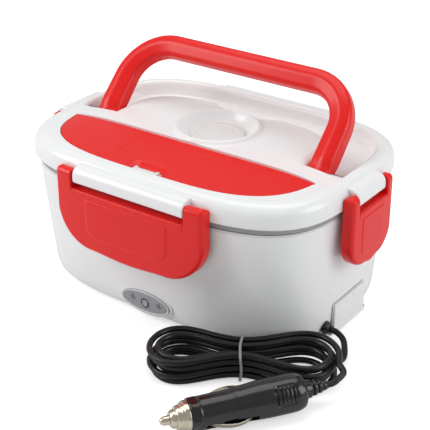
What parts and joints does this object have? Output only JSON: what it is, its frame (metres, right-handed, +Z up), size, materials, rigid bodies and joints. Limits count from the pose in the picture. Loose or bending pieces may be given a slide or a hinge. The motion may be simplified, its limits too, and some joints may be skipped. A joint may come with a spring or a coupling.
{
  "type": "electric lunch box",
  "caption": "Electric lunch box with a lift-off latched lid, folding carry handle, spoon cover, steam vent, food trays, and a 12 volt lead wound in a hank.",
  "frame": {"origin": "middle of the box's footprint on the table, without the cord and plug", "axes": "+X along the box, -Y toward the front with the indicator, +Z up"},
  "size_m": [0.2602, 0.2509, 0.1473],
  "materials": {
    "white_plastic": "glossy moulded",
    "red_plastic": "glossy moulded",
    "pale_plastic": "satin translucent",
    "grey_silicone": "matte",
    "clear_silicone": "satin",
    "foot_rubber": "matte",
    "steel": "brushed",
    "aluminium": "satin",
    "ceramic": "matte",
    "panel_grey": "satin",
    "lens": "clear",
    "board": "matte",
    "black_plastic": "glossy",
    "cord_black": "satin",
    "tie_grey": "satin",
    "plated": "polished",
    "brass": "polished"
  },
  "bodies": {
    "box": {"base_shell": "white_plastic", "bottom_cover": "white_plastic", "rubber_feet": "foot_rubber", "bottom_screws": "steel", "inner_liner": "pale_plastic", "heating_plate": "aluminium", "ptc_heater": "ceramic", "heater_clamp": "steel", "thermal_fuse": "ceramic", "indicator_panel": "panel_grey", "lamp_lens": "lens", "led_board": "board", "inlet_housing": "black_plastic", "dc_inlet": "steel", "inlet_cover_pin": "steel", "lead_gland": "black_plastic", "lead_box_run": "cord_black", "lead_hank": "cord_black", "lead_plug_run": "cord_black", "cord_tie": "tie_grey", "plug_strain_relief": "black_plastic", "plug_body": "black_plastic", "plug_side_contacts": "plated", "plug_nose": "plated", "plug_fuse": "ceramic"},
    "lid": {"lid_shell": "white_plastic", "lid_liner": "white_plastic", "lid_seal": "grey_silicone", "spoon_catch": "clear_silicone", "handle_pins": "steel"},
    "steam_vent": {"vent_plug": "clear_silicone"},
    "spoon_door": {"spoon_cover": "red_plastic"},
    "carry_handle": {"handle": "red_plastic"},
    "latch_front": {"front_latch": "red_plastic"},
    "latch_rear": {"rear_latch": "red_plastic"},
    "latch_right": {"right_latch": "red_plastic"},
    "latch_left": {"left_latch": "red_plastic"},
    "main_tray": {"food_tray": "pale_plastic"},
    "upper_tray": {"side_tray": "white_plastic"},
    "inlet_flap": {"inlet_cover": "white_plastic"},
    "plug_contact": {"plug_tip": "plated", "plug_spring": "steel"}
  },
  "joints": [
    {"name": "lid_lift", "type": "slide", "parent": "box", "child": "lid", "axis": [0, 0, 1], "range_m": [0, 0.09]},
    {"name": "front_latch_swing", "type": "hinge", "parent": "lid", "child": "latch_front", "pos_m": [0, -0.0846, 0.097], "axis": [-1, 0, 0], "range_deg": [0, 152]},
    {"name": "rear_latch_swing", "type": "hinge", "parent": "lid", "child": "latch_rear", "pos_m": [0, 0.0846, 0.097], "axis": [1, 0, 0], "range_deg": [0, 152]},
    {"name": "right_latch_swing", "type": "hinge", "parent": "lid", "child": "latch_right", "pos_m": [0.1136, 0, 0.097], "axis": [0, -1, 0], "range_deg": [0, 152]},
    {"name": "left_latch_swing", "type": "hinge", "parent": "lid", "child": "latch_left", "pos_m": [-0.1136, 0, 0.097], "axis": [0, 1, 0], "range_deg": [0, 152]},
    {"name": "handle_fold", "type": "hinge", "parent": "lid", "child": "carry_handle", "pos_m": [0, -0.005, 0.099], "axis": [1, 0, 0], "range_deg": [-44, 46]},
    {"name": "spoon_cover_open", "type": "hinge", "parent": "lid", "child": "spoon_door", "pos_m": [0, -0.0265, 0.1018], "axis": [-1, 0, 0], "range_deg": [0, 105]},
    {"name": "vent_open", "type": "slide", "parent": "lid", "child": "steam_vent", "axis": [0, 0, 1], "range_m": [0, 0.006]},
    {"name": "food_tray_lift", "type": "slide", "parent": "box", "child": "main_tray", "axis": [0, 0, 1], "range_m": [0, 0.045]},
    {"name": "side_tray_lift", "type": "slide", "parent": "main_tray", "child": "upper_tray", "axis": [0, 0, 1], "range_m": [0, 0.025]},
    {"name": "inlet_cover_open", "type": "hinge", "parent": "box", "child": "inlet_flap", "pos_m": [0.1046, 0, 0.0026], "axis": [0, 1, 0], "range_deg": [0, 80]},
    {"name": "plug_tip_press", "type": "slide", "parent": "box", "child": "plug_contact", "axis": [0.5592, 0.829, 0], "range_m": [0, 0.003], "stiffness_N_per_m": 600}
  ],
  "couplings": [
    {"joint": "front_latch_swing", "follows": "lid_lift", "rad_per_m": 29},
    {"joint": "rear_latch_swing", "follows": "lid_lift", "rad_per_m": 29},
    {"joint": "right_latch_swing", "follows": "lid_lift", "rad_per_m": 29},
    {"joint": "left_latch_swing", "follows": "lid_lift", "rad_per_m": 29},
    {"joint": "food_tray_lift", "follows": "lid_lift", "ratio": 0.45},
    {"joint": "side_tray_lift", "follows": "lid_lift", "ratio": 0.25}
  ]
}
